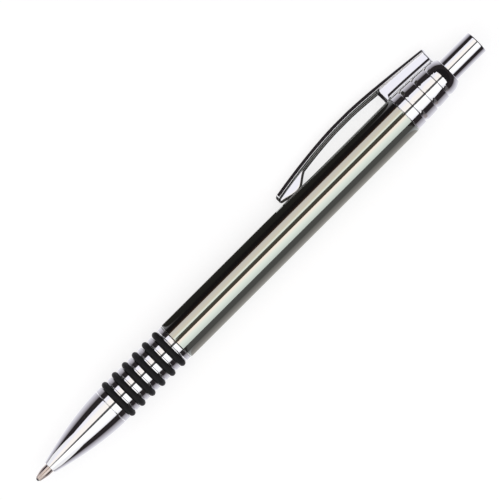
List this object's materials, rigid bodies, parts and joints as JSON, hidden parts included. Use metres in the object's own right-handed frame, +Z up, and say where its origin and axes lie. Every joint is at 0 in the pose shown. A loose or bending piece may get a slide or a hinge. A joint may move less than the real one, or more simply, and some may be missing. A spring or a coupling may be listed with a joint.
{
  "type": "click pen",
  "caption": "Slim metal click pen with rubber grip rings, a tapered nose, a long dark barrel, an arched pocket clip and a push button that works the refill through a cam.",
  "frame": {"origin": "centre of the pen's bounding box, on the surface that the pen lies on", "axes": "+X along the pen from the writing tip to the push button, +Z up, and the clip towards +Y and a little down, as the pen lies on its grip rings and its clip's edge"},
  "size_m": [0.14, 0.0146, 0.0101],
  "materials": {
    "chrome": "bright mirror chrome plate",
    "dark_chrome": "smoke-grey mirror plate with a faint shift between warm and green tints",
    "rubber": "matt black moulded rubber",
    "brass": "turned brass",
    "nickel_silver": "turned nickel silver with a faint pink tone",
    "carbide": "polished ball",
    "steel": "drawn steel",
    "white_nylon": "moulded nylon",
    "dark_nylon": "moulded nylon"
  },
  "bodies": {
    "casing": {"barrel_tube": "dark_chrome", "barrel_bush": "brass", "top_housing": "chrome", "cam_sleeve": "white_nylon", "clip_block": "chrome", "return_spring": "steel"},
    "button": {"push_button": "chrome", "cam_plunger": "dark_nylon"},
    "refill": {"refill_tube": "steel", "refill_point": "nickel_silver"},
    "rotor": {"cam_rotor": "dark_nylon"},
    "ball": {"refill_ball": "carbide"},
    "clip": {"clip_arm": "chrome"},
    "trim": {"trim_ring": "chrome"},
    "front_section": {"nose_cone": "chrome", "grip_sleeve": "chrome", "grip_ring_1": "rubber", "grip_ring_2": "rubber", "grip_ring_3": "rubber", "grip_ring_4": "rubber", "grip_ring_5": "rubber", "grip_ring_6": "rubber"}
  },
  "joints": [
    {"name": "button_press", "type": "slide", "parent": "casing", "child": "button", "axis": [-1, 0, 0], "range_m": [-0.005, 0.001]},
    {"name": "refill_slide", "type": "slide", "parent": "casing", "child": "refill", "axis": [-1, 0, 0], "range_m": [-0.005, 0.001], "deforming": ["return_spring"]},
    {"name": "rotor_turn", "type": "hinge", "parent": "refill", "child": "rotor", "pos_m": [0.03695, -0.00227, 0.00508], "axis": [-1, 0, 0], "continuous": true},
    {"name": "ball_roll", "type": "hinge", "parent": "refill", "child": "ball", "pos_m": [-0.0695, -0.00227, 0.00508], "axis": [0, -0.3769, -0.9262], "continuous": true},
    {"name": "clip_flex", "type": "hinge", "parent": "casing", "child": "clip", "pos_m": [0.04575, 0.00594, 0.00174], "axis": [0, -0.3769, -0.9262], "range_deg": [0, 4], "stiffness_Nm_per_rad": 1},
    {"name": "section_turn", "type": "hinge", "parent": "casing", "child": "trim", "pos_m": [-0.0269, -0.00227, 0.00508], "axis": [-1, 0, 0], "range_deg": [0, 1440]},
    {"name": "section_advance", "type": "slide", "parent": "trim", "child": "front_section", "axis": [-1, 0, 0], "range_m": [0, 0.006]}
  ],
  "couplings": [
    {"joint": "refill_slide", "follows": "button_press", "ratio": 1},
    {"joint": "section_turn", "follows": "section_advance", "rad_per_m": 4188.8}
  ]
}
